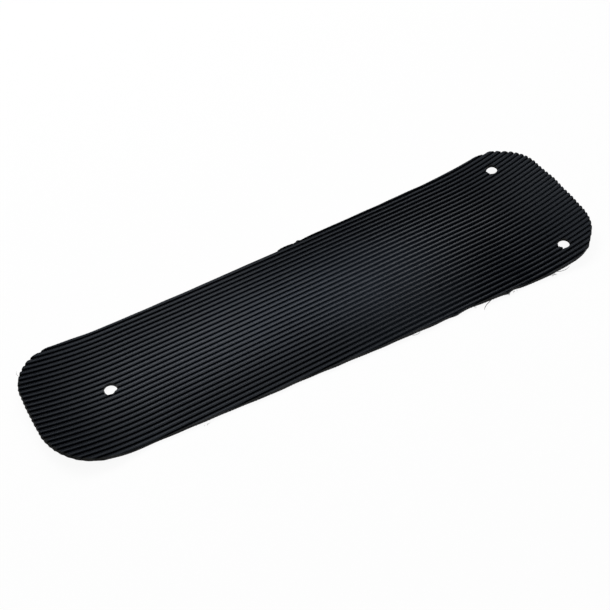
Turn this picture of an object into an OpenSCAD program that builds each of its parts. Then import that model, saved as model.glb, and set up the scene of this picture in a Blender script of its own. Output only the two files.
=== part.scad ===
// Footrest rubber pad: one strip of fine ribbed rubber, cut to a tapered outline with four
// rounded corners, punched with three fixing holes and curled up at both ends.
// The ribs run along X, the ribbed side faces +Z and the flat middle rests on Z = 0.
// Lengths along the strip are measured on the groove floors, from the middle of the pad.

/* [Outline] */
// Length of the pad along its grooves
pad_length = 341; // [300:1:400]
// Width across the wide end, before its corners are rounded
wide_w = 101.5; // [92:0.5:120]
// Width across the narrow end, before its corners are rounded
narrow_w = 76.8; // [66:0.2:88]
// How far the middle of the narrow end lies towards the far edge
narrow_shift = 10.2; // [4:0.1:11]
// Place where the far edge has stepped out by most of a rib, from the middle to the wide end
step_place = 4; // [-40:1:40]
// Length of that step along the edge
step_run = 22; // [6:1:30]

/* [Corners] */
// Radius of the narrow end's corner at the far edge
narrow_far_r = 30; // [20:1:34]
// Radius of the narrow end's corner at the near edge
narrow_near_r = 32; // [20:1:36]
// Radius of the wide end's corner at the far edge
wide_far_r = 34; // [18:1:40]
// Radius of the wide end's corner at the near edge
wide_near_r = 34; // [18:1:40]
// How far a corner's round runs past the two edges that it joins
corner_overrun = 0.6; // [0.3:0.1:1.5]

/* [Section] */
// Thickness of the web under the grooves
web_t = 1.2; // [0.8:0.1:3]
// Distance from one rib to the next
rib_pitch = 3; // [2.5:0.1:4]
// Height of a rib above the groove floor
rib_h = 1; // [0.6:0.1:1.5]
// Width of a groove at its floor
groove_w = 0.6; // [0.4:0.1:1]
// How far each flank of a rib leans in
flank_lean = 0.2; // [0.05:0.05:0.4]
// Bevel along both shoulders of a rib
crest_bevel = 0.3; // [0.1:0.05:0.5]
// Distance of the middle groove from the centre line
rib_offset = 1.5; // [-1.5:0.1:1.5]

/* [Curl] */
// Radius of the curl at both ends, on the groove floors
curl_r = 183; // [120:1:400]
// Length of the curled stretch at the narrow end
narrow_curl = 57; // [40:0.5:80]
// Length of the curled stretch at the wide end
wide_curl = 62.5; // [40:0.5:80]

/* [Fixing holes] */
// Diameter of the three punched holes
hole_d = 7; // [5:0.1:10]
// Distance of the single hole from the narrow end
narrow_hole_in = 42.5; // [30:0.5:55]
// Distance of the single hole from the near edge
narrow_hole_edge = 39.5; // [20:0.5:60]
// Distance of the far hole from the wide end
far_hole_in = 24.5; // [16:0.5:40]
// Distance of the far hole from the far edge
far_hole_edge = 14.5; // [10:0.5:25]
// Distance of the near hole from the wide end
near_hole_in = 27; // [16:0.5:40]
// Distance of the near hole from the near edge
near_hole_edge = 14; // [10:0.5:25]

/* [Hidden] */
$fn = 180;

half_l = pad_length/2;
sheet_t = web_t + rib_h;
narrow_flat = half_l - narrow_curl;
wide_flat = half_l - wide_curl;

// How far a cutting solid stands past what it cuts
cut_past = 5;
// Height of the block that trims the long edges, more than the curled ends reach
trim_h = 60;
// Ribs on each side of the middle, enough to reach past the wide end
rib_reach = ceil((wide_w/2 + abs(rib_offset))/rib_pitch) + 1;

// Place of the two long edges across the strip at x. The near edge is straight from end to end.
// The far edge runs along the ribs, steps out and then runs along them again.
narrow_far = narrow_w/2 + narrow_shift;
step_start = step_place - step_run;
function between(x, x0, y0, x1, y1) = y0 + (y1 - y0)*(x - x0)/(x1 - x0);
function near_y(x) = between(x, -half_l, narrow_shift - narrow_w/2, half_l, -wide_w/2);
function far_y(x) =
    x < step_start ? narrow_far :
    x < step_place ? between(x, step_start, narrow_far, step_place, wide_w/2) :
    wide_w/2;

// Angle that the strip has turned, u past the flat middle
function turn(u) = max(0, u)/curl_r*180/PI;

// One period of the ribbed side as [height, place], starting at a groove's middle
function rib_points(y) = [
    [web_t, y + groove_w/2],
    [sheet_t - crest_bevel, y + groove_w/2 + flank_lean],
    [sheet_t, y + groove_w/2 + flank_lean + crest_bevel],
    [sheet_t, y + rib_pitch - groove_w/2 - flank_lean - crest_bevel],
    [sheet_t - crest_bevel, y + rib_pitch - groove_w/2 - flank_lean],
    [web_t, y + rib_pitch - groove_w/2]
];

// Cross-section of the strip: height above the underside along X, width along Y
module strip_section() {
    first = rib_offset - rib_reach*rib_pitch;
    last = rib_offset + rib_reach*rib_pitch;
    ribs = [for (i = [-rib_reach : rib_reach - 1]) each rib_points(rib_offset + i*rib_pitch)];
    polygon(concat([[0, first], [web_t, first]], ribs, [[web_t, last], [0, last]]));
}

// Curled end that starts at X = 0 and rises towards +X over the given length
module curled_end(length) {
    translate([0, 0, web_t + curl_r])
        rotate([90, 0, 0])
            rotate([0, 0, -90])
                rotate_extrude(angle = turn(length))
                    translate([web_t + curl_r, 0])
                        rotate(180)
                            strip_section();
}

// The whole ribbed strip, still with parallel sides and square ends
module ribbed_strip() {
    translate([wide_flat, 0, 0])
        rotate([0, -90, 0])
            linear_extrude(wide_flat + narrow_flat)
                strip_section();
    translate([wide_flat, 0, 0])
        curled_end(wide_curl);
    translate([-narrow_flat, 0, 0])
        mirror([1, 0, 0])
            curled_end(narrow_curl);
}

// Children set on the groove floor at x along the strip and y across it, square to the rubber
module on_strip(x, y) {
    flat = x > 0 ? wide_flat : narrow_flat;
    a = turn(abs(x) - flat);
    mirror([x > 0 ? 0 : 1, 0, 0])
        translate([min(abs(x), flat) + curl_r*sin(a), y, web_t + curl_r*(1 - cos(a))])
            rotate([0, -a, 0])
                children();
}

// Upright block inside the two long edges
module edge_block() {
    corners = [-half_l, step_start, step_place, half_l];
    translate([0, 0, -cut_past])
        linear_extrude(trim_h)
            polygon(concat(
                [for (x = corners) [x, far_y(x)]],
                [for (x = [half_l, -half_l]) [x, near_y(x)]]
            ));
}

// Waste outside one rounded corner: end is 1 for the wide and -1 for the narrow end,
// side is 1 for the far and -1 for the near edge
module corner_waste(end, side, r) {
    inset = r - corner_overrun;
    x = end*(half_l - inset);
    y = (side > 0 ? far_y(x) : near_y(x)) - side*inset;
    on_strip(x + end*r/2, y)
        translate([-r/2, 0, -web_t - cut_past])
            mirror([0, side > 0 ? 0 : 1, 0])
                linear_extrude(sheet_t + 2*cut_past)
                    difference() {
                        square(r + cut_past);
                        circle(r);
                    }
}

// Punched hole at x along the strip and y across it
module punched_hole(x, y) {
    on_strip(x, y)
        translate([0, 0, -web_t - cut_past])
            cylinder(d = hole_d, h = sheet_t + 2*cut_past);
}

module pad() {
    narrow_hole_x = narrow_hole_in - half_l;
    far_hole_x = half_l - far_hole_in;
    near_hole_x = half_l - near_hole_in;
    color([0.07, 0.07, 0.08])
        difference() {
            intersection() {
                ribbed_strip();
                edge_block();
            }
            corner_waste(-1, 1, narrow_far_r);
            corner_waste(-1, -1, narrow_near_r);
            corner_waste(1, 1, wide_far_r);
            corner_waste(1, -1, wide_near_r);
            punched_hole(narrow_hole_x, near_y(narrow_hole_x) + narrow_hole_edge);
            punched_hole(far_hole_x, far_y(far_hole_x) - far_hole_edge);
            punched_hole(near_hole_x, near_y(near_hole_x) + near_hole_edge);
        }
}

pad();
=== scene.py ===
"""Dresses the footrest rubber pad: ribbed rubber with its cut edges, on a pale floor."""

import logging
import math
from dataclasses import dataclass, field
from enum import Enum

import bpy
import numpy as np
from mathutils import Matrix, Vector


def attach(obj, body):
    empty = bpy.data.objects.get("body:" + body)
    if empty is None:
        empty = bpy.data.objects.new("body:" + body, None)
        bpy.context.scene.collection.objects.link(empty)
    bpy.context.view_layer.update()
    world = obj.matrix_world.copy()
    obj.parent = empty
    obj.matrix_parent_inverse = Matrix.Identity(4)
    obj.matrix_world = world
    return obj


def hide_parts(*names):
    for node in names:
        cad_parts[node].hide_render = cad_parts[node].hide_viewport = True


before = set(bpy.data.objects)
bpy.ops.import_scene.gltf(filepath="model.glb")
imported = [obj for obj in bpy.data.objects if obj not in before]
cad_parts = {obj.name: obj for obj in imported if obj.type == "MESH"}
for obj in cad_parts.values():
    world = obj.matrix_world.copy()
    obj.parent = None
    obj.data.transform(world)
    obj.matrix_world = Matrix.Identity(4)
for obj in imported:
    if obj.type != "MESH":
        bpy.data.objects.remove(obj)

LOG = logging.getLogger("footrest_pad")
MM = 0.001
BODY = "root"
NODE = "pad"
PALE_COTTON = (0.2, 0.2, 0.195)

# Gentle noise along a line: its sines, the range of their wavelengths and the sum's usual peak
NOISE_SINES = 5
NOISE_WAVES = (0.6, 1.7)
NOISE_PEAK = 3.2


class LongEdge(Enum):
    """The two long edges of the strip, by the side of its centre line that they lie on."""

    FAR = 1
    NEAR = -1


class StripEnd(Enum):
    """The two ends of the strip, by their direction along it."""

    WIDE = 1
    NARROW = -1


@dataclass(frozen=True)
class Corner:
    """One rounded corner of the outline: which end and edge it joins, and its radius."""

    end: StripEnd
    edge: LongEdge
    radius: float


@dataclass(frozen=True)
class Wander:
    """A hollow, swelling, nick or burr of the cut edge, as a bell curve.

    The edge lies further out by height*exp(-(d/spread)**2), with d the distance from (x, y).
    """

    x: float
    y: float
    spread: float
    height: float

    @classmethod
    def in_mm(cls, x: float, y: float, spread: float, height: float) -> "Wander":
        """A wander with its sizes given in millimetres."""
        return cls(x * MM, y * MM, spread * MM, height * MM)

    def shift(self, line: np.ndarray) -> np.ndarray:
        """How far each point of a line moves out."""
        distance = np.hypot(line[:, 0] - self.x, line[:, 1] - self.y)
        return self.height * np.exp(-((distance / self.spread) ** 2))


@dataclass(frozen=True)
class Hole:
    """One punched hole: its centre on the flat strip, and its flaws, set off from the centre."""

    x: float
    y: float
    flaws: tuple[Wander, ...] = ()


@dataclass(frozen=True)
class StripForm:
    """Sizes of the strip, in metres: outline, section and curl, as the part's source has them."""

    length: float = 341 * MM
    wide_width: float = 101.5 * MM
    narrow_width: float = 76.8 * MM
    narrow_shift: float = 10.2 * MM
    step_place: float = 4.0 * MM
    step_run: float = 22.0 * MM
    corner_overrun: float = 0.6 * MM
    web: float = 1.2 * MM
    rib_height: float = 1.0 * MM
    curl_radius: float = 183 * MM
    narrow_curl: float = 57.0 * MM
    wide_curl: float = 62.5 * MM
    hole_diameter: float = 7.0 * MM
    # Each hole's distance from its end and from its long edge
    narrow_hole: tuple[float, float] = (42.5 * MM, 39.5 * MM)
    far_hole: tuple[float, float] = (24.5 * MM, 14.5 * MM)
    near_hole: tuple[float, float] = (27 * MM, 14 * MM)
    wide_radius: float = 34 * MM
    narrow_far_radius: float = 30 * MM
    narrow_near_radius: float = 32 * MM

    @property
    def half(self) -> float:
        """Half of the strip's length."""
        return self.length / 2

    @property
    def narrow_far(self) -> float:
        """Place of the far edge where it runs along the ribs, from the narrow end."""
        return self.narrow_width / 2 + self.narrow_shift

    @property
    def corners(self) -> tuple[Corner, ...]:
        """The four rounded corners.

        Returns:
            The corners in order round the outline, from the wide end's far one.
        """
        return (
            Corner(StripEnd.WIDE, LongEdge.FAR, self.wide_radius),
            Corner(StripEnd.NARROW, LongEdge.FAR, self.narrow_far_radius),
            Corner(StripEnd.NARROW, LongEdge.NEAR, self.narrow_near_radius),
            Corner(StripEnd.WIDE, LongEdge.NEAR, self.wide_radius),
        )

    @property
    def holes(self) -> tuple[Hole, ...]:
        """The three punched holes, set in from the ends and the long edges.

        Returns:
            The holes with their flaws.
        """
        (narrow_in, narrow_up), (far_in, far_up), (near_in, near_up) = (
            self.narrow_hole,
            self.far_hole,
            self.near_hole,
        )
        narrow_x, far_x, near_x = narrow_in - self.half, self.half - far_in, self.half - near_in
        corner = (
            Wander.in_mm(-2.6, -2.4, 1.1, 0.7),
            Wander.in_mm(1.6, -3.1, 1.3, -0.6),
        )
        burr = (Wander.in_mm(-3.0, -1.8, 0.6, -0.5),)
        return (
            Hole(narrow_x, self.edge_y(LongEdge.NEAR, narrow_x) + narrow_up, corner),
            Hole(far_x, self.edge_y(LongEdge.FAR, far_x) - far_up, burr),
            Hole(near_x, self.edge_y(LongEdge.NEAR, near_x) + near_up, burr),
        )

    def edge_y(self, edge: LongEdge, x: float | np.ndarray) -> float | np.ndarray:
        """Place of a long edge across the strip, as straight stretches between its corners.

        Args:
            edge: which long edge.
            x: places along the strip.

        Returns:
            The edge's y at each x.
        """
        if edge is LongEdge.NEAR:
            ends = (self.narrow_shift - self.narrow_width / 2, -self.wide_width / 2)
            return np.interp(x, (-self.half, self.half), ends)
        step = (self.step_place - self.step_run, self.step_place)
        return np.interp(x, step, (self.narrow_far, self.wide_width / 2))

    def bent(self, flat: np.ndarray) -> np.ndarray:
        """Carries points of the flat strip to the strip as it rests, curled up at both ends.

        With u the length past the flat middle and R the curl radius on the groove floors, the strip
        turns by a = u/R, so a point at height h above the groove floor goes to
        x = flat + (R - h)*sin(a) and z = web + R - (R - h)*cos(a). The unevenness is added to z,
        and takes it down by no more than the curl has lifted it.

        Args:
            flat: an (n, 3) array of x along, y across and h above the groove floor.

        Returns:
            An (n, 3) array of points in the part's frame.
        """
        side = np.sign(flat[:, 0])
        middle = np.where(side > 0, self.half - self.wide_curl, self.half - self.narrow_curl)
        past = np.maximum(np.abs(flat[:, 0]) - middle, 0.0)
        turn = past / self.curl_radius
        arm = self.curl_radius - flat[:, 2]
        x = side * (np.minimum(np.abs(flat[:, 0]), middle) + arm * np.sin(turn))
        z = self.web + self.curl_radius - arm * np.cos(turn)
        rise = self.curl_radius * (1 - np.cos(turn))
        z += np.maximum(self.unevenness(flat[:, 0], flat[:, 1]), -rise)
        return np.stack([x, flat[:, 1], z], axis=1)

    @staticmethod
    def unevenness(x: np.ndarray, y: np.ndarray) -> np.ndarray:
        """How far the worn rubber stands off an even curl: the far corners turn up most.

        With a = x/150 mm and b = (y - 2 mm)/45 mm it is the polynomial
        b*(-0.5 - 0.6a + 1.9a**2 + 1.2a**3 - 0.8a**4) + b**2*(-0.2 + 0.5a + 1.3a**2 - 0.7a**3) mm.

        Args:
            x: places along the strip.
            y: places across it.

        Returns:
            Heights in metres.
        """
        a, b = x / (150 * MM), (y - 2 * MM) / (45 * MM)
        tilt = -0.5 - 0.6 * a + 1.9 * a**2 + 1.2 * a**3 - 0.8 * a**4
        cup = -0.2 + 0.5 * a + 1.3 * a**2 - 0.7 * a**3
        return (b * tilt + b**2 * cup) * MM


@dataclass(frozen=True)
class RibSection:
    """Cross-section of the ribs: a row of ribs with rounded crests on a flat groove floor."""

    pitch: float = 3.0 * MM
    offset: float = 1.5 * MM
    half_foot: float = 1.2 * MM
    fullness: float = 3.4
    steps: int = 13

    def one_rib(self, height: float) -> np.ndarray:
        """One rib as a superellipse arch.

        The arch is y = w*|cos t|**(2/n) and h = H*|sin t|**(2/n), with t from 0 to 180 degrees,
        w the half width at the foot, H the height and n the fullness.

        Args:
            height: height of the rib.

        Returns:
            An (m, 2) array of y from the rib's middle and height, from the near to the far foot.
        """
        t = np.linspace(math.pi, 0, self.steps)
        y = self.half_foot * np.sign(np.cos(t)) * np.abs(np.cos(t)) ** (2 / self.fullness)
        h = height * np.abs(np.sin(t)) ** (2 / self.fullness)
        return np.stack([y, h], axis=1)

    def row(self, height: float, reach: float) -> np.ndarray:
        """The ribbed side from -reach to reach, as many whole ribs as cover it.

        Args:
            height: height of a rib.
            reach: half of the width to cover.

        Returns:
            An (m, 2) array of y and height, in order of y.
        """
        count = math.ceil(reach / self.pitch) + 1
        middles = self.offset + (np.arange(-count, count) + 0.5) * self.pitch
        arch = self.one_rib(height)
        y = (middles[:, None] + arch[None, :, 0]).ravel()
        h = np.tile(arch[:, 1], len(middles))
        return np.stack([y, h], axis=1)


def new_mesh_object(name: str, points: np.ndarray, faces: list) -> bpy.types.Object:
    """Makes a mesh object at the origin.

    Args:
        name: the object's name.
        points: an (n, 3) array of places in metres.
        faces: sequences of point numbers, one for each face.

    Returns:
        The object, linked to the scene.
    """
    mesh = bpy.data.meshes.new(name)
    mesh.from_pydata(points.tolist(), [], faces)
    mesh.validate()
    mesh.update()
    piece = bpy.data.objects.new(name, mesh)
    bpy.context.scene.collection.objects.link(piece)
    return piece


def grid_faces(rows: int, columns: int, closed: bool) -> np.ndarray:
    """Quads of a grid whose points run row by row.

    Args:
        rows: number of rows.
        columns: number of points in a row.
        closed: whether the last column joins the first.

    Returns:
        An (n, 4) array of point numbers.
    """
    across = np.arange(columns if closed else columns - 1)
    here = np.arange(rows - 1)[:, None] * columns + across
    right = np.arange(rows - 1)[:, None] * columns + (across + 1) % columns
    return np.stack([here, right, right + columns, here + columns], axis=-1).reshape(-1, 4)


def swept_solid(name: str, loop: np.ndarray, offsets: np.ndarray) -> bpy.types.Object:
    """Closed solid of one loop of points repeated at several offsets, with a flat cap at each end.

    The surface is S(i, k) = loop(i) + offset(k), with i round the loop and k along the sweep.

    Args:
        name: the object's name.
        loop: an (n, 3) array of a closed loop's points.
        offsets: an (m, 3) array of what is added to the loop at each ring.

    Returns:
        The solid as an object.
    """
    count = len(loop)
    points = (offsets[:, None, :] + loop[None, :, :]).reshape(-1, 3)
    faces = grid_faces(len(offsets), count, True).tolist()
    first = list(range(count))
    last = [count * (len(offsets) - 1) + i for i in first]
    return new_mesh_object(name, points, faces + [first[::-1], last])


def smooth_noise(place: np.ndarray, wavelength: float, seed: int) -> np.ndarray:
    """Gentle noise along a line: the sum of a few sines with seeded wavelengths and phases.

    Args:
        place: places along the line.
        wavelength: mean wavelength.
        seed: seed of the random numbers.

    Returns:
        Values of about -1 to 1.
    """
    source = np.random.default_rng(seed)
    waves = wavelength * source.uniform(*NOISE_WAVES, NOISE_SINES)
    phases = source.uniform(0, 2 * math.pi, NOISE_SINES)
    return np.sin(2 * math.pi * place[:, None] / waves + phases).sum(axis=1) / NOISE_PEAK


@dataclass(frozen=True)
class CutOutline:
    """Outline that the strip was cut to, in the flat, with the small unevenness of the cut.

    The cut sways in long waves and shakes in fine ones, follows the ribs as a saw tooth where it
    crosses them, is more ragged along most of the near edge, and has single wanders.
    """

    form: StripForm
    spacing: float = 0.4 * MM
    fewest_arc_points: int = 8
    long_wave: float = 22 * MM
    long_depth: float = 0.12 * MM
    long_seed: int = 3
    fine_wave: float = 1.6 * MM
    fine_depth: float = 0.05 * MM
    fine_seed: int = 5
    tooth_pitch: float = 3.0 * MM
    tooth_depth: float = 0.17 * MM
    ragged_depth: float = 0.14 * MM
    ragged_middle: float = 20 * MM
    ragged_reach: float = 120 * MM
    wanders: tuple[Wander, ...] = (
        # Near edge
        Wander.in_mm(15, -40.5, 38, 0.75),
        Wander.in_mm(-60, -35.5, 12, 0.4),
        Wander.in_mm(44, -43, 10, 0.25),
        Wander.in_mm(57.5, -44, 3, 0.45),
        Wander.in_mm(68, -44, 8, -0.6),
        Wander.in_mm(92.5, -45.5, 2.5, 0.6),
        Wander.in_mm(98, -46.5, 3, -0.5),
        Wander.in_mm(110, -47.5, 9, 0.3),
        Wander.in_mm(124, -48.5, 4, 0.4),
        Wander.in_mm(141, -48.2, 8, -0.8),
        # Narrow end's near corner
        Wander.in_mm(-160, -26, 7, 0.5),
        Wander.in_mm(-136, -30, 9, 1),
        Wander.in_mm(-162, -23.5, 0.8, -0.5),
        Wander.in_mm(-158.5, -26, 0.7, -0.4),
        # Far edge
        Wander.in_mm(-115, 48.5, 30, -0.4),
        Wander.in_mm(-148, 45, 8, -0.9),
        Wander.in_mm(-20, 49, 17, 0.5),
        Wander.in_mm(-5, 50, 3, -0.3),
        Wander.in_mm(9, 50.5, 9, -0.8),
        Wander.in_mm(10.3, 50.8, 1.2, 0.7),
        Wander.in_mm(32, 51, 24, -0.25),
        Wander.in_mm(85, 51, 25, 0.25),
        Wander.in_mm(126, 51, 16, 0.5),
        # Wide end's two corners
        Wander.in_mm(154, 47, 6, 1.1),
        Wander.in_mm(163, 41, 4, 0.4),
        Wander.in_mm(154.5, -45.5, 1.8, 0.5),
        Wander.in_mm(160, -40, 6, -0.3),
        # Wide end
        Wander.in_mm(170, -22, 8, -1.15),
        Wander.in_mm(170, -8, 9, -0.4),
        Wander.in_mm(170, 5, 7, 0.3),
        Wander.in_mm(170, 22, 6, -0.6),
        Wander.in_mm(167, 31, 6, 0.3),
        # Narrow end
        Wander.in_mm(-169, -20, 9, 0.6),
        Wander.in_mm(-170, -3, 5, -0.35),
        Wander.in_mm(-170, 10, 8, 0.35),
        Wander.in_mm(-167, 34, 6, 0.2),
    )

    def corner_points(self, corner: Corner) -> np.ndarray:
        """Arc of one rounded corner between the end and the long edge that it joins.

        The circle reaches past both by the overrun v, so it starts and ends at the angle
        acos(1 - v/r) from their directions.

        Args:
            corner: the corner.

        Returns:
            An (n, 2) array of points from the end to the long edge.
        """
        form, r = self.form, corner.radius
        inset = r - form.corner_overrun
        sx, sy = corner.end.value, corner.edge.value
        cx = sx * (form.half - inset)
        cy = float(form.edge_y(corner.edge, cx)) - sy * inset
        slack = math.acos(inset / r)
        count = max(self.fewest_arc_points, int(r * math.pi / 2 / self.spacing))
        angle = np.linspace(slack, math.pi / 2, count)
        x = cx + sx * r * np.cos(angle)
        y = cy + sy * r * np.sin(angle)
        past = sy * (y - form.edge_y(corner.edge, x)) > 0
        last = int(np.argmax(past)) if past.any() else count
        return np.stack([x[:last], y[:last]], axis=1)

    def long_edge_points(self, edge: LongEdge, x_from: float, x_to: float) -> np.ndarray:
        """Points of one long edge.

        Args:
            edge: which long edge.
            x_from: place where it starts.
            x_to: place where it ends.

        Returns:
            An (n, 2) array of points in that order.
        """
        x = np.linspace(x_from, x_to, int(abs(x_to - x_from) / self.spacing))[1:-1]
        return np.stack([x, self.form.edge_y(edge, x)], axis=1)

    def points(self) -> np.ndarray:
        """The whole outline, against the clock seen from above.

        Returns:
            An (n, 2) array of points.
        """
        wide_far, narrow_far, narrow_near, wide_near = (
            self.corner_points(corner) for corner in self.form.corners
        )
        stretches = [
            wide_far,
            self.long_edge_points(LongEdge.FAR, wide_far[-1, 0], narrow_far[-1, 0]),
            narrow_far[::-1],
            narrow_near,
            self.long_edge_points(LongEdge.NEAR, narrow_near[-1, 0], wide_near[-1, 0]),
            wide_near[::-1],
        ]
        line = self.resampled(np.concatenate(stretches))
        step = np.roll(line, -1, axis=0) - np.roll(line, 1, axis=0)
        outward = np.stack([step[:, 1], -step[:, 0]], axis=1)
        outward /= np.linalg.norm(outward, axis=1)[:, None]
        along = np.arange(len(line)) * self.spacing
        uneven = self.long_depth * smooth_noise(along, self.long_wave, self.long_seed)
        from_middle = np.abs(line[:, 0] - self.ragged_middle)
        ragged = (line[:, 1] < 0) & (from_middle < self.ragged_reach)
        fine_depth = np.where(ragged, self.ragged_depth, self.fine_depth)
        uneven += fine_depth * smooth_noise(along, self.fine_wave, self.fine_seed)
        teeth = np.cos(2 * math.pi * line[:, 1] / self.tooth_pitch) * np.abs(outward[:, 0])
        uneven += self.tooth_depth * teeth
        uneven += sum(wander.shift(line) for wander in self.wanders)
        return line + outward * uneven[:, None]

    def resampled(self, line: np.ndarray) -> np.ndarray:
        """A closed line with its points an even distance apart.

        Args:
            line: an (n, 2) array of points.

        Returns:
            An (m, 2) array of points at about the outline's spacing.
        """
        closed = np.vstack([line, line[:1]])
        run = np.concatenate([[0], np.cumsum(np.linalg.norm(np.diff(closed, axis=0), axis=1))])
        even = np.linspace(0, run[-1], int(run[-1] / self.spacing), endpoint=False)
        return np.stack([np.interp(even, run, closed[:, i]) for i in (0, 1)], axis=1)


class Value:
    """A shader socket that takes part in Python expressions."""

    def __init__(self, graph: "Graph", socket: bpy.types.NodeSocket) -> None:
        """Wraps a socket of a graph."""
        self.graph = graph
        self.socket = socket

    def _math(self, operation: str, first: object, second: object) -> "Value":
        """Adds one Math node on two values."""
        node = self.graph.node("ShaderNodeMath", {"operation": operation}, {0: first, 1: second})
        return Value(self.graph, node.outputs[0])

    def __add__(self, other: object) -> "Value":
        """Sum."""
        return self._math("ADD", self, other)

    def __sub__(self, other: object) -> "Value":
        """Difference."""
        return self._math("SUBTRACT", self, other)

    def __rsub__(self, other: object) -> "Value":
        """Difference from a number."""
        return self._math("SUBTRACT", other, self)

    def __mul__(self, other: object) -> "Value":
        """Product."""
        return self._math("MULTIPLY", self, other)

    __radd__ = __add__
    __rmul__ = __mul__

    def at_most(self, other: object) -> "Value":
        """The smaller of the two."""
        return self._math("MINIMUM", self, other)

    def at_least(self, other: object) -> "Value":
        """The larger of the two."""
        return self._math("MAXIMUM", self, other)


class Graph:
    """The node tree of one material or of the world."""

    def __init__(self, owner: bpy.types.Material | bpy.types.World) -> None:
        """Empties the owner's node tree.

        Args:
            owner: the material or the world.
        """
        owner.use_nodes = True
        self.tree = owner.node_tree
        self.tree.nodes.clear()

    def node(
        self, kind: str, settings: dict | None = None, inputs: dict | None = None
    ) -> bpy.types.Node:
        """Adds a node.

        Args:
            kind: the node's type name.
            settings: its properties.
            inputs: values or links of its sockets, by name or number.

        Returns:
            The node.
        """
        node = self.tree.nodes.new(kind)
        for key, value in (settings or {}).items():
            setattr(node, key, value)
        for key, value in (inputs or {}).items():
            self._feed(node.inputs[key], value)
        return node

    def _feed(self, socket: bpy.types.NodeSocket, value: object) -> None:
        """Links or sets one input socket.

        Args:
            socket: the input.
            value: a Value or a socket to link, or a constant.
        """
        if isinstance(value, Value):
            value = value.socket
        if isinstance(value, bpy.types.NodeSocket):
            self.tree.links.new(value, socket)
        else:
            socket.default_value = value

    def value(
        self,
        kind: str,
        settings: dict | None = None,
        inputs: dict | None = None,
        out: str | int = 0,
    ) -> Value:
        """Adds a node and wraps one of its outputs."""
        return Value(self, self.node(kind, settings, inputs).outputs[out])

    def blend(self, share: object, first: object, second: object) -> Value:
        """Mixes two colours by a share of the second."""
        mix = self.node("ShaderNodeMix", {"data_type": "RGBA"}, {0: share, 6: first, 7: second})
        return Value(self, mix.outputs[2])


def opaque(colour: tuple[float, float, float]) -> tuple[float, float, float, float]:
    """A colour with full alpha."""
    return (*colour, 1.0)


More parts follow.
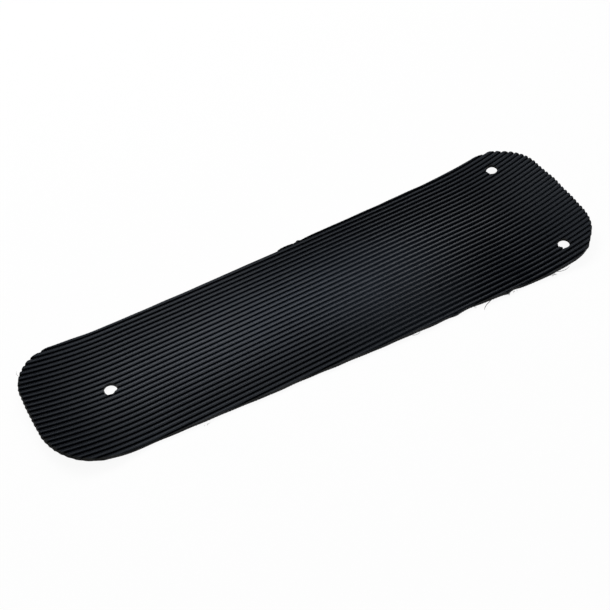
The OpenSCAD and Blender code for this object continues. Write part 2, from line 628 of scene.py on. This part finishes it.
@dataclass(frozen=True)
class RubberFinish:
    """Black rubber, moulded smooth on the ribs and dull where it was cut.

    A painted sheen lies on the crests and a paler painted sheen on the groove floors, in soft oval
    patches, and the groove floors are painted darker than the crests as shade. The cut wall is
    greyer along the long edges than round the ends.
    """

    crest: tuple[float, float, float] = (0.001, 0.0016, 0.003)
    # Painted shade: the groove floors' colour is darker than the crests', blended in by depth
    groove: tuple[float, float, float] = (0.0005, 0.0007, 0.0012)
    cut: tuple[float, float, float] = (0.019, 0.0185, 0.0175)
    cut_end: tuple[float, float, float] = (0.0045, 0.0042, 0.0022)
    cut_reach: tuple[float, float] = (175 * MM, 1.0)
    cut_fade: float = 8.0
    rim_share: float = 0.75
    # Painted sheen on the crests: a paler, bluer colour in a soft oval over the pad's middle,
    # standing in for the lamps' light there
    crest_sheen: tuple[float, float, float] = (0.0105, 0.0145, 0.022)
    crest_sheen_middle: tuple[float, float] = (-20 * MM, 9 * MM)
    crest_sheen_reach: tuple[float, float] = (155 * MM, 42 * MM)
    # Painted sheen on the groove floors: a paler colour in a soft oval over the middle, standing in
    # for the lamps' reflection there
    groove_sheen: tuple[float, float, float] = (0.043, 0.053, 0.067)
    groove_sheen_middle: tuple[float, float] = (36 * MM, -9 * MM)
    groove_sheen_reach: tuple[float, float] = (66 * MM, 58 * MM)
    # A second patch at the wide end pales the groove floors there too
    end_middle: tuple[float, float] = (168 * MM, 0.0)
    end_reach: tuple[float, float] = (45 * MM, 62 * MM)
    end_share: float = 0.3
    gloss_middle: tuple[float, float] = (-6 * MM, 8 * MM)
    gloss_reach: tuple[float, float] = (212 * MM, 50 * MM)
    roughness: float = 0.26
    cut_roughness: float = 0.7
    specular: float = 0.1
    tint: tuple[float, float, float] = (0.9, 1.0, 1.14)
    coat: float = 0.26
    coat_roughness: float = 0.14
    grain_size: float = 0.35 * MM
    grain_detail: float = 2.0
    grain_roughness: float = 0.1
    patch_size: float = 18 * MM
    patch_detail: float = 3.0
    patch_roughness: float = 0.08
    patch_gain: float = 0.8
    patch_floor: float = 0.6
    noise_middle: float = 0.09
    bump: float = 0.12
    bump_height: float = 0.1 * MM

    def material(self) -> bpy.types.Material:
        """Builds the material.

        Returns:
            A Principled material that reads the attributes groove, rim and cut.
        """
        material = bpy.data.materials.new("black_rubber")
        graph = Graph(material)
        place = graph.value("ShaderNodeTexCoord", out="Object")
        grain = self.noise(graph, place, self.grain_size, self.grain_detail)
        patches = self.noise(graph, place, self.patch_size, self.patch_detail)
        groove = self.attribute(graph, "groove")
        cut = self.attribute(graph, "cut")
        # Oval patch of the painted crest sheen
        crest_sheen = self.patch(graph, place, self.crest_sheen_middle, self.crest_sheen_reach)
        # Oval patches of the painted groove sheen, in the middle and at the wide end
        groove_sheen = self.patch(graph, place, self.groove_sheen_middle, self.groove_sheen_reach)
        groove_sheen = groove_sheen + self.patch(graph, place, self.end_middle, self.end_reach) * self.end_share
        gloss = self.patch(graph, place, self.gloss_middle, self.gloss_reach)
        uneven = patches * self.patch_gain + self.patch_floor
        # Crests: painted sheen over the crest colour
        top = graph.blend(crest_sheen * uneven, opaque(self.crest), opaque(self.crest_sheen))
        # Groove floors: painted shade colour, with the painted sheen over it
        floor = graph.blend(groove_sheen * uneven, opaque(self.groove), opaque(self.groove_sheen))
        ribbed = graph.blend(groove, top, floor)
        cut = cut.at_least(self.attribute(graph, "rim") * self.rim_share)
        long_side = self.patch(graph, place, (0.0, 0.0), self.cut_reach) * self.cut_fade
        wall = graph.blend(long_side.at_most(1.0), opaque(self.cut_end), opaque(self.cut))
        colour = graph.blend(cut, ribbed, wall)
        roughness = cut * (self.cut_roughness - self.roughness) + self.roughness
        roughness = roughness + grain * self.grain_roughness + patches * self.patch_roughness
        roughness = roughness - self.noise_middle
        coat = (1.0 - cut) * (1.0 - groove) * gloss * self.coat
        bump = graph.value(
            "ShaderNodeBump",
            {},
            {"Strength": self.bump, "Distance": self.bump_height, "Height": grain},
        )
        shader = graph.node(
            "ShaderNodeBsdfPrincipled",
            {},
            {
                "Base Color": colour,
                "Roughness": roughness,
                "Normal": bump,
                "Specular IOR Level": self.specular,
                "Specular Tint": opaque(self.tint),
                "Coat Weight": coat,
                "Coat Roughness": self.coat_roughness,
            },
        )
        graph.node("ShaderNodeOutputMaterial", {}, {"Surface": shader.outputs[0]})
        return material

    @staticmethod
    def attribute(graph: Graph, name: str) -> Value:
        """One of the mesh's own attributes."""
        return graph.value("ShaderNodeAttribute", {"attribute_name": name}, out="Fac")

    @staticmethod
    def patch(
        graph: Graph, place: Value, middle: tuple[float, float], reach: tuple[float, float]
    ) -> Value:
        """A soft oval patch over the pad: 1 in its middle, falling to 0 at its reach.

        Args:
            graph: the material's node tree.
            place: object coordinates.
            middle: the patch's middle, x and y.
            reach: its half sizes along x and y.

        Returns:
            The patch's share at each place.
        """
        shifted = graph.node(
            "ShaderNodeMapping",
            {"vector_type": "TEXTURE"},
            {"Vector": place, "Location": (*middle, 0), "Scale": (*reach, 1)},
        )
        distance = graph.value(
            "ShaderNodeVectorMath", {"operation": "LENGTH"}, {0: shifted.outputs[0]}, "Value"
        )
        return graph.value(
            "ShaderNodeMapRange",
            {"interpolation_type": "SMOOTHSTEP"},
            {"Value": distance, "From Min": 1.0, "From Max": 0.0},
        )

    @staticmethod
    def noise(graph: Graph, place: Value, size: float, detail: float) -> Value:
        """Noise whose features are about the given size across, as values from 0 to 1."""
        inputs = {"Vector": place, "Scale": 1 / size, "Detail": detail}
        return graph.value("ShaderNodeTexNoise", {}, inputs, out="Fac")


@dataclass(frozen=True)
class FloorFinish:
    """Pale studio floor that looks white to the eye and in reflections, and keeps a soft shadow."""

    grey: float = 0.8
    glow: float = 1.0
    share: float = 0.93

    def material(self) -> bpy.types.Material:
        """Builds the material: plain diffuse to the lamps, mostly glow to the camera.

        Returns:
            The material.
        """
        material = bpy.data.materials.new("pale_floor")
        graph = Graph(material)
        path = graph.node("ShaderNodeLightPath")
        seen = Value(graph, path.outputs["Is Camera Ray"])
        seen = seen.at_least(Value(graph, path.outputs["Is Glossy Ray"]))
        seen = seen.at_least(Value(graph, path.outputs["Is Transmission Ray"]))
        matt = graph.node("ShaderNodeBsdfDiffuse", {}, {"Color": opaque((self.grey,) * 3)})
        white = opaque((1.0, 1.0, 1.0))
        glow = graph.node("ShaderNodeEmission", {}, {"Color": white, "Strength": self.glow})
        mix = graph.node(
            "ShaderNodeMixShader",
            {},
            {0: seen * self.share, 1: matt.outputs[0], 2: glow.outputs[0]},
        )
        graph.node("ShaderNodeOutputMaterial", {}, {"Surface": mix.outputs[0]})
        return material


@dataclass
class RubberPad:
    """The ribbed strip: a swept blank that is cut to its outline, punched and curled."""

    form: StripForm = field(default_factory=StripForm)
    ribs: RibSection = field(default_factory=RibSection)
    station: float = 2.5 * MM
    cut_past: float = 2.0 * MM
    back_columns: int = 24
    hole_sides: int = 72
    sharp_angle: float = math.radians(40)

    def blank(self) -> bpy.types.Object:
        """Ribbed strip with square ends: the cross-section carried along X.

        Returns:
            The blank, lying flat with its groove floors at height 0.
        """
        reach = self.form.wide_width / 2 + self.cut_past
        top = self.ribs.row(self.form.rib_height, reach)
        back_y = np.linspace(top[-1, 0], top[0, 0], self.back_columns)
        back = np.stack([back_y, np.full(len(back_y), -self.form.web)], axis=1)
        section = np.concatenate([top, back])
        loop = np.column_stack([np.zeros(len(section)), section])
        end = self.form.half + self.cut_past
        x = np.linspace(-end, end, int(2 * end / self.station))
        offsets = np.column_stack([x, np.zeros(len(x)), np.zeros(len(x))])
        return swept_solid("blank", loop[::-1], offsets)

    def die(self) -> bpy.types.Object:
        """Upright solid inside the outline, which keeps what it covers."""
        return self.upright("die", CutOutline(self.form).points())

    def punch(self, hole: Hole) -> bpy.types.Object:
        """Upright round solid of one hole.

        The circle is (x + r*cos t, y + r*sin t), with t round the hole and r changed by its flaws.

        Args:
            hole: the hole.

        Returns:
            The solid as an object.
        """
        t = np.linspace(0, 2 * math.pi, self.hole_sides, endpoint=False)
        ring = np.stack([np.cos(t), np.sin(t)], axis=1)
        r = self.form.hole_diameter / 2
        r = r + sum(flaw.shift(r * ring) for flaw in hole.flaws)
        return self.upright("punch", (hole.x, hole.y) + ring * np.reshape(r, (-1, 1)))

    def upright(self, name: str, outline: np.ndarray) -> bpy.types.Object:
        """Upright solid whose faces count as cut faces.

        Args:
            name: the solid's name.
            outline: an (n, 2) array of a closed outline, against the clock seen from above.

        Returns:
            The solid, which stands past the strip's two sides.
        """
        loop = np.column_stack([outline, np.zeros(len(outline))])
        low = -self.form.web - self.cut_past
        high = self.form.rib_height + self.cut_past
        solid = swept_solid(name, loop, np.array([[0, 0, low], [0, 0, high]]))
        second_slot = np.ones(len(solid.data.polygons), np.int32)
        solid.data.polygons.foreach_set("material_index", second_slot)
        return solid

    def cut(self, piece: bpy.types.Object, tool: bpy.types.Object, operation: str) -> None:
        """Cuts a piece with a tool, which is used up.

        Args:
            piece: what is cut.
            tool: the solid that cuts it.
            operation: INTERSECT or DIFFERENCE.
        """
        modifier = piece.modifiers.new("cut", "BOOLEAN")
        modifier.operation = operation
        modifier.solver = "MANIFOLD"
        modifier.object = tool
        graph = bpy.context.evaluated_depsgraph_get()
        mesh = bpy.data.meshes.new_from_object(piece.evaluated_get(graph))
        piece.modifiers.clear()
        piece.data = mesh
        bpy.data.objects.remove(tool)

    def build(self, material: bpy.types.Material) -> bpy.types.Object:
        """Makes the finished pad.

        Args:
            material: the rubber.

        Returns:
            The pad as one closed mesh.
        """
        pad = self.blank()
        self.two_slots(pad, material)
        die = self.die()
        self.two_slots(die, material)
        self.cut(pad, die, "INTERSECT")
        for hole in self.form.holes:
            punch = self.punch(hole)
            self.two_slots(punch, material)
            self.cut(pad, punch, "DIFFERENCE")
        pad.name = "ribbed_rubber_pad"
        self.finish(pad.data, material)
        return pad

    @staticmethod
    def two_slots(piece: bpy.types.Object, material: bpy.types.Material) -> None:
        """Gives a piece slot 0 for its moulded faces and slot 1 for its cut faces."""
        for _ in range(2):
            piece.data.materials.append(material)

    def finish(self, mesh: bpy.types.Mesh, material: bpy.types.Material) -> None:
        """Marks grooves and cut faces, curls the strip and shades it smooth.

        Args:
            mesh: the cut strip, still flat.
            material: the rubber.
        """
        flat = np.empty(len(mesh.vertices) * 3)
        mesh.vertices.foreach_get("co", flat)
        flat = flat.reshape(-1, 3)
        depth = 1 - np.clip(flat[:, 2] / self.form.rib_height, 0, 1)
        mesh.attributes.new("groove", "FLOAT", "POINT").data.foreach_set("value", depth)
        index = np.empty(len(mesh.polygons), np.int32)
        mesh.polygons.foreach_get("material_index", index)
        mesh.attributes.new("cut", "FLOAT", "FACE").data.foreach_set("value", index.astype(float))
        corner_face = np.repeat(index, [len(face.vertices) for face in mesh.polygons])
        corner_point = np.empty(len(mesh.loops), np.int32)
        mesh.loops.foreach_get("vertex_index", corner_point)
        rim = np.zeros(len(mesh.vertices))
        rim[corner_point[corner_face == 1]] = 1
        mesh.attributes.new("rim", "FLOAT", "POINT").data.foreach_set("value", rim)
        mesh.polygons.foreach_set("material_index", np.zeros(len(mesh.polygons), np.int32))
        mesh.materials.clear()
        mesh.materials.append(material)
        mesh.vertices.foreach_set("co", self.form.bent(flat).ravel())
        mesh.polygons.foreach_set("use_smooth", np.ones(len(mesh.polygons), bool))
        mesh.set_sharp_from_angle(angle=self.sharp_angle)
        mesh.update()


@dataclass(frozen=True)
class Thread:
    """One frayed thread: its route over the flat strip, x, y and height above the groove floor."""

    route: tuple[tuple[float, float, float], ...]
    radius: float

    @classmethod
    def in_mm(cls, radius: float, *route: tuple[float, float, float]) -> "Thread":
        """A thread with its radius and its route given in millimetres."""
        return cls(tuple(tuple(v * MM for v in point) for point in route), radius * MM)


@dataclass(frozen=True)
class ThreadFinish:
    """Grey cotton of the frayed threads."""

    colour: tuple[float, float, float] = (0.035, 0.035, 0.035)
    roughness: float = 0.9
    fleck_size: float = 1.5 * MM
    fleck_detail: float = 2.0
    fleck_gain: float = 2.4

    def material(self) -> bpy.types.Material:
        """Builds the material.

        Returns:
            A dull material with a slight change of grey along each thread.
        """
        material = bpy.data.materials.new("grey_thread")
        graph = Graph(material)
        place = graph.value("ShaderNodeTexCoord", out="Object")
        flecks = RubberFinish.noise(graph, place, self.fleck_size, self.fleck_detail)
        pale = opaque(tuple(self.fleck_gain * c for c in self.colour))
        colour = graph.blend(flecks, opaque(self.colour), pale)
        shader = graph.node(
            "ShaderNodeBsdfPrincipled", {}, {"Base Color": colour, "Roughness": self.roughness}
        )
        graph.node("ShaderNodeOutputMaterial", {}, {"Surface": shader.outputs[0]})
        return material


@dataclass
class FrayedThreads:
    """Threads of the rubber's fabric ply that stand out of the near edge where it was cut."""

    form: StripForm = field(default_factory=StripForm)
    sides: int = 6
    rings: int = 14
    thinning: float = 0.6
    # Tufts: x, y and number of fibres of each, then how their fibres are drawn
    tufts: tuple[tuple[float, float, int], ...] = (
        (92.6 * MM, -46.1 * MM, 12),
        (97.5 * MM, -46.4 * MM, 3),
        (124.6 * MM, -48.9 * MM, 10),
        (70.0 * MM, -44.2 * MM, 3),
        (-95.0 * MM, -35.4 * MM, 3),
    )
    tuft_seed: int = 11
    tuft_length: float = 1.6 * MM
    tuft_height: float = -0.5 * MM
    tuft_spread: tuple[float, float, float] = (1.0 * MM, 0.2 * MM, 0.4 * MM)
    tuft_way: tuple[float, float, float] = (0, -0.45, 0)
    tuft_way_spread: tuple[float, float, float] = (1.0, 0.35, 0.5)
    tuft_bend: float = 0.2 * MM
    tuft_radius: float = 0.1 * MM
    threads: tuple[Thread, ...] = (
        Thread.in_mm(
            0.2, (82.5, -44.6, -0.4), (78.5, -45.9, -0.6), (75.8, -46.9, -0.8), (73.6, -48.7, -0.9)
        ),
        Thread.in_mm(0.16, (127.5, -48.2, -0.7), (131.5, -49.6, -0.8), (135.5, -49.3, -0.6)),
        Thread.in_mm(
            0.12, (27.5, -41.7, -0.6), (29.5, -43.1, -0.8), (32.0, -43.3, -0.8), (34.0, -42.3, -0.5)
        ),
        Thread.in_mm(0.09, (-164.5, 33.5, -0.3), (-167.5, 35.5, 0.1), (-167.0, 38.0, 0.3)),
    )

    def tuft_threads(self) -> list[Thread]:
        """Short fibres that stand out of the edge in tufts, by seeded draws.

        Returns:
            The fibres of all tufts.
        """
        source = np.random.default_rng(self.tuft_seed)
        found = []
        for x, y, count in self.tufts:
            root = np.array([x, y, self.tuft_height])
            for _ in range(count):
                start = root + source.uniform(-1, 1, 3) * self.tuft_spread
                way = source.uniform(-1, 1, 3) * self.tuft_way_spread + self.tuft_way
                end = start + self.tuft_length * way
                middle = (start + end) / 2 + source.uniform(-1, 1, 3) * self.tuft_bend
                found.append(Thread((tuple(start), tuple(middle), tuple(end)), self.tuft_radius))
        return found

    def tube(self, thread: Thread) -> tuple[np.ndarray, np.ndarray, list]:
        """One thread as a round tube that thins towards its end.

        The route is a smooth curve through the points, taken as a polynomial of their number, and
        the tube is S(i, k) = route(i) + r(i)*(cos k * side + sin k * up), with k round the tube.

        Args:
            thread: the thread.

        Returns:
            The points, the quads of the wall and the two end rings.
        """
        knots = np.array(thread.route)
        place = np.linspace(0, 1, len(knots))
        u = np.linspace(0, 1, self.rings)
        curves = [np.polyfit(place, knots[:, i], len(knots) - 1) for i in range(3)]
        route = self.form.bent(np.stack([np.polyval(curve, u) for curve in curves], axis=1))
        along = np.gradient(route, axis=0)
        along /= np.linalg.norm(along, axis=1)[:, None]
        side = np.cross(along, (0, 0, 1))
        side /= np.linalg.norm(side, axis=1)[:, None]
        up = np.cross(side, along)
        k = np.linspace(0, 2 * math.pi, self.sides, endpoint=False)
        r = thread.radius * (1 - self.thinning * u**3)
        across = np.cos(k)[None, :, None] * side[:, None, :]
        ring = across + np.sin(k)[None, :, None] * up[:, None, :]
        points = (route[:, None, :] + r[:, None, None] * ring).reshape(-1, 3)
        wall = grid_faces(self.rings, self.sides, True)
        first = list(range(self.sides))
        last = [self.sides * (self.rings - 1) + i for i in first]
        return points, wall, [first[::-1], last]

    def build(
        self, name: str, threads: tuple[Thread, ...] | list[Thread], finish: ThreadFinish
    ) -> bpy.types.Object:
        """Makes some of the threads as one object.

        Args:
            name: the object's name.
            threads: the threads.
            finish: their finish.

        Returns:
            The object.
        """
        points, faces, count = [], [], 0
        for thread in threads:
            tube_points, wall, caps = self.tube(thread)
            points.append(tube_points)
            faces += (wall + count).tolist() + [[i + count for i in cap] for cap in caps]
            count += len(tube_points)
        piece = new_mesh_object(name, np.concatenate(points), faces)
        piece.data.materials.append(finish.material())
        piece.data.polygons.foreach_set("use_smooth", np.ones(len(piece.data.polygons), bool))
        return piece


@dataclass(frozen=True)
class PhotoCamera:
    """Camera at the photograph's place, looking along its axis at a point of the pad."""

    azimuth: float = math.radians(58.283)
    elevation: float = math.radians(50.225)
    roll: float = math.radians(0.6)
    distance: float = 510.4 * MM
    aim: tuple[float, float, float] = (-11.22 * MM, 5.95 * MM, 1.2 * MM)
    lens: float = 53.53
    sensor: float = 36.0

    def build(self) -> bpy.types.Object:
        """Makes the camera.

        The camera lies at aim - distance*f, with f = (cos e cos a, cos e sin a, -sin e) its line of
        sight, a the azimuth and e the elevation.

        Returns:
            The camera, made the scene's own.
        """
        data = bpy.data.cameras.new("photo_camera")
        data.lens = self.lens
        data.sensor_width = self.sensor
        data.clip_start = 10 * MM
        camera = bpy.data.objects.new("photo_camera", data)
        bpy.context.scene.collection.objects.link(camera)
        sight = Vector(
            (
                math.cos(self.elevation) * math.cos(self.azimuth),
                math.cos(self.elevation) * math.sin(self.azimuth),
                -math.sin(self.elevation),
            )
        )
        turn = sight.to_track_quat("-Z", "Y").to_matrix().to_4x4()
        place = Matrix.Translation(Vector(self.aim) - self.distance * sight)
        camera.matrix_world = place @ turn @ Matrix.Rotation(self.roll, 4, "Z")
        bpy.context.scene.camera = camera
        return camera


@dataclass(frozen=True)
class Lamp:
    """One soft box: where it stands seen from the pad, its size in metres and its power."""

    name: str
    azimuth: float
    elevation: float
    distance: float
    size: float
    power: float

    def build(self) -> bpy.types.Object:
        """Makes the area lamp, facing the pad's middle.

        Returns:
            The lamp.
        """
        data = bpy.data.lights.new(self.name, "AREA")
        data.shape = "SQUARE"
        data.size = self.size
        data.energy = self.power
        lamp = bpy.data.objects.new(self.name, data)
        bpy.context.scene.collection.objects.link(lamp)
        a, e = math.radians(self.azimuth), math.radians(self.elevation)
        way = Vector((math.cos(e) * math.cos(a), math.cos(e) * math.sin(a), math.sin(e)))
        lamp.location = way * self.distance
        lamp.rotation_euler = way.to_track_quat("Z", "Y").to_euler()
        return lamp


@dataclass(frozen=True)
class Studio:
    """Floor, world light and soft boxes."""

    floor_half: float = 5.0
    wall_height: float = 0.9
    floor_drop: float = 0.05 * MM
    world_grey: float = 0.08
    lamps: tuple[Lamp, ...] = (
        Lamp("left_box", 108, 50, 1.6, 0.8, 17.0),
        Lamp("top_box", 0, 80, 1.6, 0.6, 4.8),
        Lamp("front_box", 270, 60, 1.6, 0.9, 3.4),
        Lamp("back_box", 60, 58, 1.6, 0.6, 2.4),
        Lamp("back_left_box", 82, 48, 1.6, 0.6, 1.8),
        Lamp("spot_box", 44, 42, 1.6, 0.3, 1.7),
        Lamp("far_spot_box", 76, 54, 1.6, 0.25, 0.8),
        Lamp("back_right_box", 44, 52, 1.6, 0.6, 1.1),
    )

    def build(self) -> None:
        """Makes the whole studio."""
        self.floor()
        self.world()
        for lamp in self.lamps:
            lamp.build()
            LOG.info("lamp %s", lamp.name)

    def floor(self) -> None:
        """Flat floor just under the pad, with a low wall round it that hides the horizon.

        Its points are the floor's square, (h cos t, h sin t) * sqrt(2) at the four odd multiples of
        45 degrees, once at the floor's height and once at the wall's.
        """
        t = np.radians([45, 135, 225, 315])
        square = math.sqrt(2) * self.floor_half * np.column_stack([np.cos(t), np.sin(t)])
        low = np.column_stack([square, np.full(4, -self.floor_drop)])
        high = np.column_stack([square, np.full(4, self.wall_height)])
        walls = [face[::-1] for face in grid_faces(2, 4, True).tolist()]
        floor = new_mesh_object("studio_floor", np.concatenate([low, high]), [[0, 1, 2, 3], *walls])
        floor.data.materials.append(FloorFinish().material())

    def world(self) -> None:
        """Even light from all round."""
        world = bpy.data.worlds.new("studio_world")
        graph = Graph(world)
        grey = opaque((self.world_grey,) * 3)
        glow = graph.node("ShaderNodeBackground", {}, {"Color": grey, "Strength": 1.0})
        graph.node("ShaderNodeOutputWorld", {}, {"Surface": glow.outputs[0]})
        bpy.context.scene.world = world


def main() -> None:
    """Builds the camera, the pad and the studio."""
    logging.basicConfig(level=logging.INFO, format="%(name)s %(message)s")
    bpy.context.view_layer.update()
    PhotoCamera().build()
    rubber = RubberFinish().material()
    pad = RubberPad().build(rubber)
    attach(pad, BODY)
    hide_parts(NODE)
    LOG.info("pad: %d faces", len(pad.data.polygons))
    frayed = FrayedThreads()
    for piece in (
        frayed.build("loose_threads", frayed.threads, ThreadFinish()),
        frayed.build("thread_tufts", frayed.tuft_threads(), ThreadFinish(PALE_COTTON)),
    ):
        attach(piece, BODY)
        LOG.info("%s: %d faces", piece.name, len(piece.data.polygons))
    Studio().build()
    scene = bpy.context.scene
    scene.view_settings.view_transform = "Standard"


if __name__ == "__main__":
    main()
